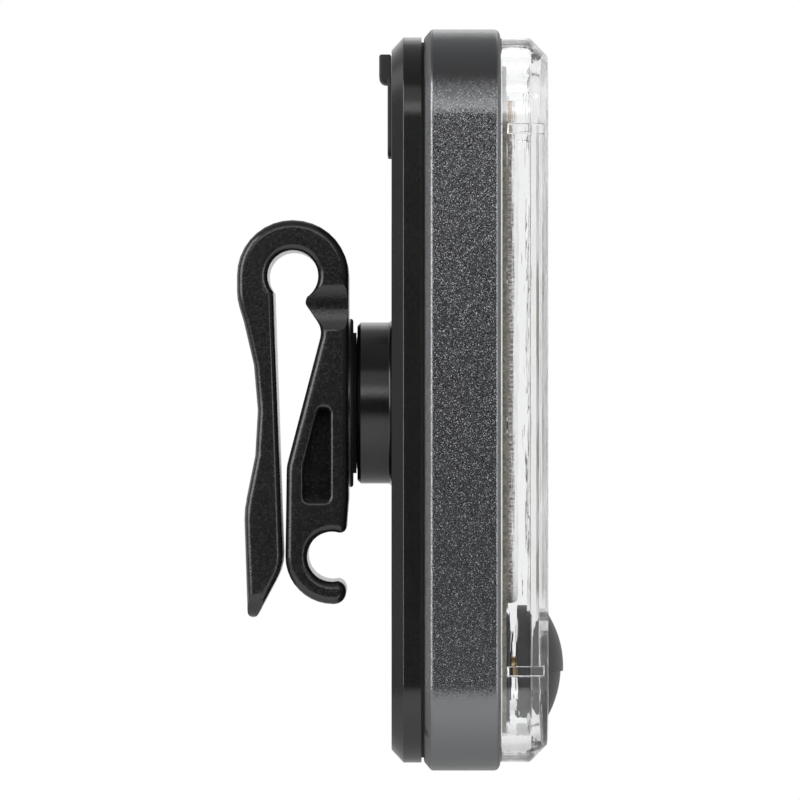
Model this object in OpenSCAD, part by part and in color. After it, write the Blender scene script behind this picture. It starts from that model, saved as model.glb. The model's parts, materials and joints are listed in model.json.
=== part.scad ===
// Clip-on bike light with a swivelling spring clip, a clear lens and a charging socket.
// Lengths are in millimetres. +X is the way the light shines, +Z is up and Y is the width.
// The origin lies in the belt slot of the clip, on the swivel axis.

/* [Case] */
// Height of the housing
case_h = 74.2; // [72:0.2:84]
// Width of the housing
case_w = 36; // [35:0.5:46]
// Corner radius of the housing, seen from the front
case_corner = 9; // [7:0.1:10]
// Height of the case centre above the swivel axis
case_rise = 0.3; // [-0.6:0.1:0.9]
// Depth of the housing
housing_depth = 7.65; // [7.2:0.05:10]
// Thickness of the housing wall
housing_wall = 2; // [1.8:0.1:2.2]
// Inset of the bevel round the back of the housing
rear_bevel = 0.9; // [0.5:0.1:1.2]
// Depth of the bevel round the back of the housing
rear_bevel_depth = 0.75; // [0.4:0.05:1.5]
// Inset of the rounding round the front of the housing
front_round = 0.9; // [0.6:0.1:1.6]
// Depth of the rounding round the front of the housing
front_round_depth = 0.6; // [0.5:0.1:1.5]
// Thickness of the inner ledge that carries the LED board
ledge_t = 2.5; // [1.8:0.1:3]
// Width of the land that the LED board rests on
ledge_land = 2.3; // [1.5:0.1:2.6]
// Depth of the ledge behind the front edge of the housing
ledge_drop = 0.6; // [0.4:0.05:0.7]
// Clearance between parts that are fitted into each other
part_clear = 0.15; // [0.1:0.05:0.25]

/* [Lens] */
// Depth of the lens in front of the housing
lens_depth = 4.7; // [4.2:0.1:6]
// Inset of the lens from the outline of the housing
lens_inset = 0.85; // [0.5:0.05:1.2]
// Inset of the bevel round the front of the lens
lens_bevel = 1.8; // [1:0.1:2.2]
// Depth of the bevel round the front of the lens
lens_bevel_depth = 1.75; // [1:0.05:2.2]
// Thickness of the front wall of the lens
lens_front_wall = 1.5; // [1.2:0.1:1.8]
// Thickness of the skirt that plugs into the housing
lens_skirt_wall = 1.25; // [1:0.05:1.4]
// Depth of the skirt behind the front edge of the housing
lens_skirt_depth = 1.05; // [0.8:0.05:1.2]
// Distance of the locating ribs from the ends of the housing
lens_rib_z = 10.1; // [8.5:0.1:15]
// Thickness of a locating rib
lens_rib_t = 0.9; // [0.6:0.1:1.4]
// Reach of a locating rib from the side wall
lens_rib_reach = 2; // [1:0.1:3]

/* [Back cover] */
// Depth of the back cover
cover_depth = 3; // [2.8:0.1:4]
// Inset of the back cover from the outline of the housing
cover_inset = 0.8; // [0.5:0.1:1]
// Thickness of the back wall of the cover
cover_wall = 1.5; // [1.4:0.1:1.8]
// Thickness of the side wall of the cover
cover_side_wall = 1.8; // [1.4:0.1:2.2]
// Inset of the bevel round the back of the cover
cover_bevel = 1.3; // [0.8:0.1:1.5]
// Depth of the bevel round the back of the cover
cover_bevel_depth = 1.2; // [0.8:0.1:2]
// Diameter of the round boss that the clip turns on
boss_d = 16.3; // [15:0.1:18]
// Length of the boss
boss_len = 3.45; // [3:0.05:6]
// Thickness of the side wall of the boss
boss_wall = 1.7; // [1.2:0.1:2.4]
// Thickness of the end wall of the boss
boss_end_wall = 1.6; // [1.4:0.1:2]
// Radius at the root of the boss
boss_root = 0.35; // [0.2:0.05:0.6]

/* [Seals] */
// Thickness of the gasket behind the housing
gasket_t = 0.25; // [0.2:0.05:0.6]
// Setback of that gasket from the edge of the cover
gasket_setback = 0.5; // [0.3:0.05:0.6]
// Thickness of the gasket under the lens
lens_gasket_t = 0.4; // [0.3:0.05:0.6]
// Thickness of the ring in the swivel
oring_t = 0.72; // [0.5:0.02:0.9]
// Diameter of the ring in the swivel, at the middle of its section
oring_d = 13; // [8.2:0.1:13.4]

/* [Swivel] */
// Gap between the clip and the end of the boss
swivel_gap = 0.1; // [0.05:0.05:0.3]
// Diameter of the pivot screw
pivot_d = 2.5; // [2:0.1:3]
// Radial clearance of the pivot screw in the boss
pivot_clear = 0.08; // [0.04:0.01:0.1]
// Diameter of the head of the pivot screw
pivot_head_d = 5; // [4.4:0.1:6]
// Height of the head of the pivot screw
pivot_head_h = 1.6; // [1.2:0.1:1.8]
// Diameter of the spring washer
pivot_washer_d = 6; // [5.6:0.1:8]
// Thickness of the spring washer
pivot_washer_t = 0.4; // [0.3:0.05:0.6]
// Diameter of the threaded insert in the clip
insert_d = 4.4; // [4:0.1:5]
// Length of the threaded insert
insert_len = 4; // [3:0.1:4.4]

/* [Clip] */
// Width of the clip
clip_w = 18; // [17.4:0.2:24]
// Radius of the edges along both sides of the clip
clip_edge = 0.8; // [0.3:0.05:0.8]
// Distance of the strap loop in front of the middle of the belt slot
loop_x = 0.26; // [0:0.02:0.5]
// Height of the strap loop above the swivel axis
loop_z = 12.74; // [12:0.02:16]
// Outer radius of the strap loop
loop_r = 5.6; // [5.2:0.1:6.4]
// Diameter of the hole in the strap loop
loop_hole_d = 5.08; // [4.8:0.02:5.6]
// Width of the belt slot at the swivel axis
belt_gap = 2.6; // [2.2:0.1:3.2]
// Thickness of the tongue at its waist
tongue_t = 1.95; // [1.6:0.05:2.3]
// Radius of the hollow along the outside of the tongue
waist_r = 31.8; // [28:0.2:36]
// Depth of the bulge on the tongue below the swivel axis
bulge_z = 10.5; // [9.5:0.1:12]
// Depth of the start of the tip's ramp below the swivel axis
ramp_z = 16.5; // [15:0.1:18]
// Radius of the tongue's tip
tip_r = 0.56; // [0.54:0.01:0.8]
// Height above the swivel axis of the bump that narrows the slot
bump_z = 10; // [9.8:0.05:10.4]
// Distance of the bump in front of the middle of the slot
bump_x = 1.45; // [1.2:0.05:1.8]
// Height above the swivel axis of the hollow under the bump
hollow_z = 7.4; // [6.8:0.1:7.8]
// Depth of the heel of the base below the swivel axis
heel_z = 6.35; // [5:0.05:7]
// Radius of the bore of the strap hook
hook_r = 2.5; // [2.3:0.05:2.6]
// Thickness of the strap hook
hook_t = 2.25; // [1.8:0.05:2.6]
// Distance of the hook's bore in front of the middle of the slot
hook_x = 4.2; // [4:0.1:4.4]
// Depth of the hook's bore below the swivel axis
hook_z = 15.4; // [15:0.1:18]
// Height of the mouth of the hook
hook_mouth = 4.8; // [4.4:0.1:4.8]
// Distance of the hook's tip in front of the middle of the slot
hook_tip_x = 5.6; // [5.4:0.1:5.8]
// Radius of the wide step of the clip's flange
flange_r = 8.5; // [8:0.1:8.8]
// Height of the wide step of the flange
flange_step = 0.42; // [0.3:0.02:0.46]
// Radius of the clip's flange at the boss
flange_face_r = 7.1; // [5.6:0.1:7.4]
// Height of the flange
flange_t = 0.74; // [0.5:0.02:1.2]
// Depth of the pocket in each side of the base
pocket_depth = 5; // [3:0.1:5.4]
// Radius of the rim of that pocket
pocket_rim = 0.45; // [0.1:0.05:0.6]
// Depth of the scoop in each side of the neck under the loop
scoop_depth = 0.5; // [0.2:0.05:0.7]
// Height of that scoop
scoop_h = 4.8; // [3:0.1:5.4]
// Radius of the corners at the foot of the tongue, seen from the back
tongue_corner = 3; // [1:0.1:5]

/* [Charging socket] */
// Distance from the top of the housing to the top of the flap's pull tab
flap_drop = 2.3; // [2.3:0.1:3]
// Height of the flap with its anchor, without the pull tab
flap_h = 8; // [7.4:0.1:9]
// Width of the flap
flap_w = 13; // [11:0.2:15]
// Thickness of the flap
flap_t = 1.05; // [0.9:0.05:1.1]
// Height of the flap above the back of the cover
flap_proud = 0.4; // [0.25:0.05:0.5]
// Height of the anchor that holds the flap
anchor_h = 2.2; // [1.6:0.1:2.6]
// Width of the pull tab
tab_w = 8; // [5:0.2:10]
// Height of the pull tab
tab_h = 2.9; // [2.4:0.1:3.2]
// Reach of the pull tab above the flap
tab_rise = 2.3; // [1.8:0.1:2.3]
// Height of the pull tab above the back of the cover
tab_proud = 1.25; // [0.8:0.05:1.6]
// Width of the charging socket
socket_w = 8.94; // [8:0.02:9.4]
// Height of the charging socket
socket_h = 3.26; // [2.8:0.02:3.4]
// Clearance of the flap's plug in the port
plug_clear = 0.35; // [0.3:0.05:0.5]
// Depth of the flap's plug in the port
plug_depth = 0.65; // [0.4:0.05:0.7]

/* [Boards and cell] */
// Thickness of the LED board
led_board_t = 0.9; // [0.8:0.1:1.1]
// Thickness of the plate under the LED strip
strip_base_t = 0.55; // [0.4:0.05:0.7]
// Margin of that plate round the LED strip
strip_margin = 0.6; // [0.4:0.1:1]
// Thickness of the LED strip
strip_t = 0.95; // [0.7:0.05:1.2]
// Width of the LED strip
strip_w = 10; // [6:0.5:14]
// Distance of the top of the LED strip from the top of the housing
strip_top = 6.45; // [5:0.05:9]
// Distance of the foot of the LED strip from the axis of the button
strip_foot = 6.4; // [6.2:0.1:10]
// Thickness of the white film round the strip
film_t = 0.25; // [0.2:0.05:0.4]
// Length of a resistor beside the LED strip
resistor_l = 1.6; // [1:0.1:2]
// Width of a resistor
resistor_w = 0.8; // [0.5:0.1:1]
// Height of a resistor above the LED board
resistor_t = 0.45; // [0.3:0.05:0.5]
// Distance between resistors
resistor_pitch = 15; // [10:0.5:16]
// Thickness of the chassis plate
chassis_t = 1.2; // [1:0.1:1.4]
// Depth of the wall round the cell
cell_rim = 2.4; // [1.6:0.1:3]
// Thickness of the control board
main_board_t = 1; // [0.8:0.1:1.2]
// Width of the control board
main_board_w = 18; // [16:0.2:18.4]
// Height of the control board
main_board_h = 22.5; // [20:0.1:22.8]
// Thickness of the cell
cell_t = 4.55; // [3.6:0.05:4.8]
// Width of the cell
cell_w = 24; // [20:0.2:25]
// Height of the cell
cell_h = 37; // [30:0.2:37.4]
// Corner radius of the cell
cell_corner = 2; // [1:0.1:3]
// Thickness of the wall round the cell
cell_rim_wall = 1.2; // [0.8:0.1:1.6]
// Width of a lead of the cell
lead_w = 3; // [2:0.1:4]
// Height of a lead of the cell
lead_h = 3.6; // [3:0.1:4]
// Thickness of a lead of the cell
lead_t = 0.15; // [0.1:0.05:0.2]
// Width of a chip or coil on the control board
chip_w = 4; // [3:0.1:5]
// Height of the controller chip above its board
chip_t = 0.9; // [0.7:0.1:1.2]
// Height of a coil above its board
coil_t = 2; // [1.2:0.1:2.4]
// Width of a capacitor on the control board
cap_w = 1.6; // [1:0.1:2]
// Length of a capacitor on the control board
cap_h = 3; // [2:0.1:3.4]
// Height of a capacitor above its board
cap_t = 0.8; // [0.5:0.1:1.2]

/* [Button] */
// Height of the button above the foot of the housing
button_z = 10.2; // [9.6:0.1:11.4]
// Radius of the button where it leaves the lens
button_r = 5.6; // [5.2:0.05:5.7]
// Height of the button above the lens
button_proud = 1.75; // [1.6:0.05:2.2]
// Height of the lower part of the button above the lens
button_step = 1.5; // [1.2:0.05:1.5]
// Radius of the lower part of the button where it leaves the lens
button_step_r = 5.4; // [4.6:0.05:5.4]
// Clearance of the button in the lens
button_clear = 0.25; // [0.2:0.05:0.35]
// Width of the button's hidden rim
button_rim = 0.6; // [0.5:0.05:1]
// Thickness of the button's hidden rim
button_rim_t = 0.95; // [0.7:0.05:1.1]
// Distance of the button's rim from the inside of the lens
button_rim_gap = 0.5; // [0.3:0.05:0.6]
// Travel of the button
button_travel = 0.3; // [0.2:0.05:0.3]
// Width of the switch under the button
switch_w = 7.2; // [6:0.1:7.6]
// Height of the stem of the switch
switch_stem_h = 0.45; // [0.35:0.05:0.6]
// Radius of the stem of the switch
switch_stem_r = 1.05; // [0.8:0.05:2]

/* [Fasteners] */
// Diameter of a case screw
screw_d = 2; // [1.6:0.1:2.2]
// Diameter of the head of a case screw
screw_head_d = 3.6; // [3:0.1:3.8]
// Height of the head of a case screw
screw_head_h = 1.1; // [0.9:0.1:1.2]
// Distance of a case screw from the outside of its corner
screw_out = 4.2; // [4.1:0.1:4.6]

/* [Hidden] */

$fn = 64;
// Largest turn of one flat along an outline's round corner, in degrees
arc_step = 10;
// Steps of a rounded edge
edge_steps = 4;
// Smallest radius that an inset corner keeps
least_r = 0.05;
// Overrun of a cut past the face that it opens
over = 0.6;
// Overlap of the pieces that make up one solid
fuse = 0.1;
// Gap round a part that is pressed or screwed in
press_gap = 0.03;
// Gap between flat faces that slide or rest on each other
rest_gap = 0.05;
// Corner radius of small parts on the boards
small_r = 0.1;

// Planes along the swivel axis, from the clip to the button
base_x = loop_x + loop_r;
flange_x = base_x + flange_t;
boss_x = flange_x + swivel_gap;
cover_x = boss_x + boss_len;
cover_in_x = cover_x + cover_wall;
cover_front = cover_x + cover_depth;
housing_x = cover_front + gasket_t;
housing_front = housing_x + housing_depth;
ledge_front = housing_front - ledge_drop;
ledge_x = ledge_front - ledge_t;
skirt_x = housing_front - lens_skirt_depth;
groove_x = skirt_x - lens_gasket_t;
lens_front = housing_front + lens_depth;
lens_in_x = lens_front - lens_front_wall;
led_front = ledge_front + led_board_t;
strip_x = led_front + strip_base_t;
chassis_x = ledge_x - chassis_t;
main_board_x = chassis_x - main_board_t;
cell_x = chassis_x - cell_t;

// Insets from the outline of the housing
skirt_out = housing_wall + part_clear;
skirt_in = skirt_out + lens_skirt_wall;
groove_in = skirt_in + part_clear;
led_board_in = groove_in + part_clear;
ledge_in = led_board_in + ledge_land;
cover_in = cover_inset + cover_side_wall;
chassis_in = housing_wall + part_clear;

// Corner posts for the case screws, which sink a little into the wall of the housing
post_sink = 0.4;
post_r = screw_out - housing_wall + post_sink;
post_shift = (case_corner - screw_out) * cos(45);
post_y = case_w / 2 - case_corner + post_shift;
post_z = case_h / 2 - case_corner + post_shift;
posts = [for (sy = [-1, 1], sz = [-1, 1]) [sy * post_y, case_rise + sz * post_z]];
screw_floor = 0.1;
screw_sink = cover_wall - screw_head_h - screw_floor;
screw_tip = 1;
screw_end = ledge_x - screw_tip;
screw_socket_d = 0.75 * screw_d;
screw_socket_depth = 0.6 * screw_head_h;

// Heights of the boards and the cell
inner_top = case_rise + case_h / 2 - housing_wall;
board_gap = 1;
cell_gap = 1.4;
main_board_top = inner_top - board_gap;
main_board_z = main_board_top - main_board_h / 2;
cell_z = main_board_top - main_board_h - cell_gap - cell_h / 2;
cell_edge = 0.8;
pad_inset = 2;
link_rise = 3.5;
link_z = main_board_z - main_board_h / 2 + link_rise;
link_w = 8;
link_h = 2.4;
link_slack = 0.5;
chip_drop = 1.5;
chip_z = main_board_z - chip_drop;
cap_rise = 4;
cap_z = main_board_z + cap_rise;
board_corner = 0.8;

// Heights and planes of the flap
tab_top = case_rise + case_h / 2 - flap_drop;
flap_top = tab_top - tab_rise;
flap_foot = flap_top - flap_h;
hinge_z = flap_foot + anchor_h;
flap_x = cover_x - flap_proud;
flap_in_x = flap_x + flap_t;
hinge_x = flap_x + flap_t / 2;
hinge_gap = 0.2;
flap_corner = 1.2;
tab_corner = 0.7;
tab_edge = 0.3;
tab_in_x = cover_x - 2 * rest_gap;
recess_x = flap_in_x + 2 * rest_gap;
port_clear = 0.35;
port_z = (hinge_z + flap_top) / 2;
port_w = socket_w + 2 * port_clear;
port_h = socket_h + 2 * port_clear;
socket_wall = 0.3;
socket_back = 0.8;
socket_setback = 0.25;
socket_x = cover_in_x + socket_setback;
blade_setback = 0.65;
blade_x = socket_x + blade_setback;
blade_t = 0.7;
blade_margin = 1.1;

// Button and switch
button_z_row = case_rise - case_h / 2 + button_z;
button_hole_r = button_r + button_clear;
rim_front = lens_in_x - button_rim_gap;
rim_x = rim_front - button_rim_t;
plunger_r = 2.5;
plunger_set = 0.3;
plunger_x = rim_x + plunger_set;
plunger_seat = 0.6;
plunger_end = rim_front + plunger_seat;
stem_x = plunger_x - button_travel - rest_gap;
switch_x = stem_x - switch_stem_h;
switch_corner = 0.4;

// Two-dimensional vectors
function unit(v) = v / norm(v);
function left(v) = [-v[1], v[0]];
function flat(v) = [v[0], v[1]];
function spin(v, a) = [v[0] * cos(a) - v[1] * sin(a), v[0] * sin(a) + v[1] * cos(a)];
function turn_of(u, v) = atan2(u[0] * v[1] - u[1] * v[0], u * v);

// Arc at corner b of an outline that comes from a and goes on to c, moved inwards by d.
// A corner is [x, y, radius], and the outline runs anticlockwise.
function corner(a, b, c, d) =
    let (
        u = unit(flat(b) - flat(a)),
        v = unit(flat(c) - flat(b)),
        turn = turn_of(u, v),
        side = sign(turn),
        tip = flat(b) + (left(u) + left(v)) * d / (1 + u * v),
        r = max(b[2] - side * d, least_r),
        centre = tip - u * r * tan(abs(turn) / 2) + left(u) * r * side,
        steps = max(1, ceil(abs(turn) / arc_step))
    )
    b[2] == 0 ? [tip] : [for (i = [0:steps]) centre - left(spin(u, turn * i / steps)) * r * side];

// Points of an outline with round corners, moved inwards by d
function rounded(corners, d = 0) =
    let (n = len(corners))
    [for (i = [0:n - 1]) each corner(corners[(i + n - 1) % n], corners[i], corners[(i + 1) % n], d)];

// Corners of a rectangle across Y and Z
function rect(w, h, r, z) = [
    [w / 2, z - h / 2, r], [w / 2, z + h / 2, r], [-w / 2, z + h / 2, r], [-w / 2, z - h / 2, r]
];

// Levels [place, inset] of a rounded edge of a given depth and inset that ends at place x
function round_levels(x, depth, inset) =
    [for (i = [0:edge_steps]) let (a = 90 * i / edge_steps)
        [x - depth * (1 - sin(a)), inset * (1 - cos(a))]];

case_outline = rect(case_w, case_h, case_corner, case_rise);

// Triangles that fill an outline, cut off one ear at a time
function twice_area(a, b, c) = (b[0] - a[0]) * (c[1] - a[1]) - (b[1] - a[1]) * (c[0] - a[0]);
function covers(a, b, c, p) =
    twice_area(a, b, p) >= 0 && twice_area(b, c, p) >= 0 && twice_area(c, a, p) >= 0;
function around(ids, i) =
    let (n = len(ids))
    [ids[(i + n - 1) % n], ids[i], ids[(i + 1) % n]];
function is_ear(points, ids, i) =
    let (
        t = around(ids, i),
        a = points[t[0]],
        b = points[t[1]],
        c = points[t[2]],
        inside = [for (k = ids) if (k != t[0] && k != t[1] && k != t[2] && covers(a, b, c, points[k])) k]
    )
    twice_area(a, b, c) > 0 && len(inside) == 0;
function first_ear(points, ids, i = 0) =
    i == len(ids) - 1 || is_ear(points, ids, i) ? i : first_ear(points, ids, i + 1);
function ears(points, ids) =
    len(ids) == 3 ? [ids] :
    let (cut = first_ear(points, ids))
    concat(
        [around(ids, cut)],
        ears(points, [for (k = [0:len(ids) - 1]) if (k != cut) ids[k]])
    );
function indices(points) = [for (i = [0:len(points) - 1]) i];

// Solid through rings of points that match one another, closed by the faces of its cap.
// Each ring and cap face runs anticlockwise, seen from outside the first ring.
module loft(rings, cap) {
    n = len(rings[0]);
    last = len(rings) - 1;
    polyhedron(
        [for (ring = rings) each ring],
        [
            for (face = cap) [for (i = [len(face) - 1:-1:0]) face[i]],
            for (face = cap) [for (i = face) last * n + i],
            for (k = [0:last - 1], i = [0:n - 1])
                [k * n + i, k * n + (i + 1) % n, (k + 1) * n + (i + 1) % n, (k + 1) * n + i]
        ]
    );
}

// Solid along X whose outline is inset by each level's amount
module slab(outline, levels)
    loft(
        [for (l = levels) [for (p = rounded(outline, l[1])) [l[0], -p[0], p[1]]]],
        [indices(rounded(outline))]
    );

// Straight slab of the case's outline, inset, between two planes
module case_slab(from, to, inset) slab(case_outline, [[from, inset], [to, inset]]);

// Flat ring of the case's outline between two insets
module case_ring(from, to, outer, inner)
    difference() {
        case_slab(from, to, outer);
        case_slab(from - over, to + over, inner);
    }

// Straight slab of a rectangle between two planes
module plate(from, to, w, h, r, z) slab(rect(w, h, r, z), [[from, 0], [to, 0]]);

// Outline across Y and Z, drawn out along X
module along_x(from, to)
    translate([from, 0, 0])
        rotate([90, 0, 90])
            linear_extrude(to - from)
                children();

// Outline across X and Z, drawn out along Y
module along_y(w)
    rotate([90, 0, 0])
        linear_extrude(w, center = true)
            children();

// Round rod along X
module rod_x(from, to, r, y = 0, z = 0)
    translate([from, y, z])
        rotate([0, 90, 0])
            cylinder(h = to - from, r = r);

// Profile of [radius, x] turned about an X axis at height z
module turned_x(z = 0)
    translate([0, 0, z])
        rotate([0, 90, 0])
            rotate_extrude()
                children();

// Slope of a line that leans by a given angle from the vertical
lean_in = tan(2);
lean_base = tan(14.6);
lean_top = 17.2;
lean_foot = 15.5;
lean_tip = tan(1.9);
lean_ramp = tan(28);

// Corners of the clip's side outline, anticlockwise from the top in front
tongue_x = loop_x - loop_r;
loop_top = loop_z + loop_r;
waist_x = -belt_gap / 2 - tongue_t;
waist_z = -1.2;
bulge_r = 8;
ramp_r = 5;
bump_r = 0.7;
hollow_r = 2;
heel_r = 3;
hook_tip_r = 1.2;
hook_end_r = 1;
hook_lip_r = 0.6;
base_corner_r = 3;
base_corner_rise = 3.4;
waist_turn = (lean_top + lean_foot) / 2;
waist_up = (lean_top - lean_foot) / 2;
waist = [
    waist_x - waist_r + waist_r / cos(waist_turn) * cos(waist_up),
    waist_z + waist_r / cos(waist_turn) * sin(waist_up)
];
shoulder_z = waist[1] + (waist[0] - tongue_x) / tan(lean_top);
bulge_x = waist[0] - (waist[1] + bulge_z) * tan(lean_foot);
ramp_x = -belt_gap / 2 + ramp_z * lean_in;
tip_z = (bulge_x - bulge_z * lean_tip - ramp_x - ramp_z * lean_ramp) / (lean_tip + lean_ramp);
tip_x = bulge_x - (bulge_z + tip_z) * lean_tip;
slot_top = loop_z - 0.5;
slot_front = loop_x + 0.75 * loop_hole_d / 2;
slot_slope = 0.3;
hook_out = hook_r + hook_t;
clip_outline = [
    [base_x, loop_top, loop_r - least_r],
    [tongue_x, loop_top, loop_r - least_r],
    [tongue_x, shoulder_z, loop_r],
    [waist[0], waist[1], waist_r],
    [bulge_x, -bulge_z, bulge_r],
    [tip_x, tip_z, tip_r],
    [ramp_x, -ramp_z, ramp_r],
    [-belt_gap / 2 - slot_top * lean_in, slot_top, 0],
    [slot_front, slot_top - slot_slope, 0],
    [bump_x, bump_z, bump_r],
    [belt_gap / 2 + hollow_z * lean_base, hollow_z, hollow_r],
    [belt_gap / 2 - heel_z * lean_base, -heel_z, heel_r],
    [hook_x - hook_out, -hook_z - hook_out, hook_out],
    [hook_tip_x, -hook_z - hook_out, hook_tip_r],
    [hook_tip_x, -hook_z - hook_mouth / 2, hook_end_r],
    [hook_x, -hook_z - hook_mouth / 2, 0],
    [hook_x, -hook_z + hook_mouth / 2, 0],
    [hook_tip_x, -hook_z + hook_mouth / 2, hook_lip_r],
    [base_x, -hook_z + hook_mouth / 2 + base_corner_rise, base_corner_r]
];

// Levels [y, inset] across the clip, with both sides rounded
clip_levels = [
    for (i = [0:edge_steps]) let (a = 90 * i / edge_steps)
        [-clip_w / 2 + clip_edge * (1 - cos(a)), clip_edge * (1 - sin(a))],
    for (i = [edge_steps:-1:0]) let (a = 90 * i / edge_steps)
        [clip_w / 2 - clip_edge * (1 - cos(a)), clip_edge * (1 - sin(a))]
];

// Flat side of the clip inside its rounded edge
clip_side = rounded(clip_outline, clip_edge);

// Corners of the pocket in the side of the base
pocket_wall = 1.75;
pocket_back = 1.9;
pocket_web = 3.2;
pocket_foot = hook_z - hook_mouth / 2 - pocket_web;
pocket_top = 0.5;
pocket_left = belt_gap / 2 + pocket_wall;
pocket_r = 0.5;
pocket_outline = [
    [base_x - pocket_back, -pocket_foot, pocket_r],
    [base_x - pocket_back, -pocket_top, pocket_r],
    [pocket_left - pocket_top * lean_base, -pocket_top, pocket_r],
    [pocket_left - heel_z * lean_base, -heel_z, heel_r],
    [pocket_left - heel_z * lean_base, -pocket_foot, pocket_r]
];

// Levels [y, inset] of the pocket, with its rim rounded outwards
pocket_levels = [
    [-clip_w / 2 - over, -pocket_rim],
    for (i = [0:edge_steps]) let (a = 90 * i / edge_steps)
        [-clip_w / 2 + pocket_rim * (1 - cos(a)), -pocket_rim * (1 - sin(a))],
    [-clip_w / 2 + pocket_depth, 0]
];

// Solid along Y whose outline is inset by each level's amount, closed by the faces of its cap
module across_y(outline, levels, cap)
    loft([for (l = levels) [for (p = rounded(outline, l[1])) [p[0], l[0], p[1]]]], cap);

// Hole along Y through the clip, with its rims rounded like the clip's sides
module clip_bore(x, z, r)
    translate([x, 0, z])
        rotate([90, 0, 0]) {
            cylinder(h = clip_w + 2 * over, r = r, center = true);
            for (side = [0, 1])
                mirror([0, 0, side])
                    rotate_extrude()
                        difference() {
                            translate([r - over, clip_w / 2 - clip_edge])
                                square([clip_edge + over, clip_edge + over]);
                            translate([r + clip_edge, clip_w / 2 - clip_edge])
                                circle(r = clip_edge);
                        }
        }

// Waste outside one rounded corner at the foot of the tongue
tongue_foot = min([for (p = rounded(clip_outline)) p[1]]);

module tongue_corner_cut()
    translate([clip_w / 2 - tongue_corner, tongue_foot + tongue_corner])
        difference() {
            translate([0, -tongue_corner - over])
                square([tongue_corner + over, tongue_corner + over]);
            circle(r = tongue_corner);
        }

// Shallow round scoop across the neck, level with the bump
scoop_r = (scoop_h * scoop_h / 4 + scoop_depth * scoop_depth) / (2 * scoop_depth);
scoop_rise = -0.4;

// Profile of the flange with its wide step, whose edge is broken
flange_edge = 0.15;
step_x = base_x + flange_step;

module clip()
    color([0.09, 0.09, 0.1])
        difference() {
            union() {
                across_y(clip_outline, clip_levels, ears(clip_side, indices(clip_side)));
                turned_x()
                    polygon([
                        [0, base_x - over], [flange_r, base_x - over], [flange_r, step_x - flange_edge],
                        [flange_r - flange_edge, step_x], [flange_face_r, step_x],
                        [flange_face_r, flange_x], [0, flange_x]
                    ]);
            }
            for (side = [0, 1])
                mirror([0, side, 0])
                    along_x(tongue_x - over, ramp_x + fuse)
                        tongue_corner_cut();
            clip_bore(loop_x, loop_z, loop_hole_d / 2);
            clip_bore(hook_x, -hook_z, hook_r);
            for (side = [0, 1])
                mirror([0, side, 0])
                    across_y(pocket_outline, pocket_levels, [indices(rounded(pocket_outline))]);
            for (side = [-1, 1])
                rod_x(loop_x, base_x + over, scoop_r, side * (clip_w / 2 + scoop_r - scoop_depth),
                    bump_z + scoop_rise);
            rod_x(insert_x, flange_x + over, insert_d / 2 + press_gap);
        }

// Turned insert with a groove round its middle
insert_x = flange_x - insert_len;
insert_mid = flange_x - insert_len / 2;
insert_groove = 0.3;

module thread_insert()
    color([0.72, 0.56, 0.25])
        difference() {
            turned_x()
                polygon([
                    [0, insert_x], [insert_d / 2, insert_x],
                    [insert_d / 2, insert_mid - 2 * insert_groove],
                    [insert_d / 2 - insert_groove, insert_mid - insert_groove],
                    [insert_d / 2 - insert_groove, insert_mid + insert_groove],
                    [insert_d / 2, insert_mid + 2 * insert_groove],
                    [insert_d / 2, flange_x], [0, flange_x]
                ]);
            rod_x(insert_x - over, flange_x + over, pivot_d / 2 + press_gap);
        }

// The ring lies in a groove of the boss and rests against the flange
oring_end = flange_x + press_gap + oring_t;
pivot_seat = boss_x + boss_end_wall + rest_gap;
pivot_head_x = pivot_seat + pivot_washer_t;

module pivot_screw()
    color([0.6, 0.61, 0.63])
        difference() {
            union() {
                rod_x(insert_x + 2 * rest_gap, pivot_head_x + fuse, pivot_d / 2);
                rod_x(pivot_head_x, pivot_head_x + pivot_head_h, pivot_head_d / 2);
            }
            translate([pivot_head_x + pivot_head_h / 2, 0, 0])
                rotate([0, 90, 0])
                    cylinder(h = pivot_head_h, d = pivot_d, $fn = 6);
        }

module pivot_washer()
    color([0.7, 0.71, 0.73])
        difference() {
            rod_x(pivot_seat, pivot_head_x, pivot_washer_d / 2);
            rod_x(pivot_seat - over, pivot_head_x + over, pivot_d / 2 + press_gap);
        }

// Boss with a rounded end and a fillet at its root
module boss()
    turned_x()
        polygon([
            [0, boss_x], [boss_d / 2 - boss_root, boss_x], [boss_d / 2, boss_x + boss_root],
            for (i = [0:edge_steps]) let (a = 90 * i / edge_steps)
                [boss_d / 2 + boss_root * (1 - cos(a)), cover_x - boss_root * (1 - sin(a))],
            [boss_d / 2 + boss_root, cover_x + over], [0, cover_x + over]
        ]);

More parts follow.
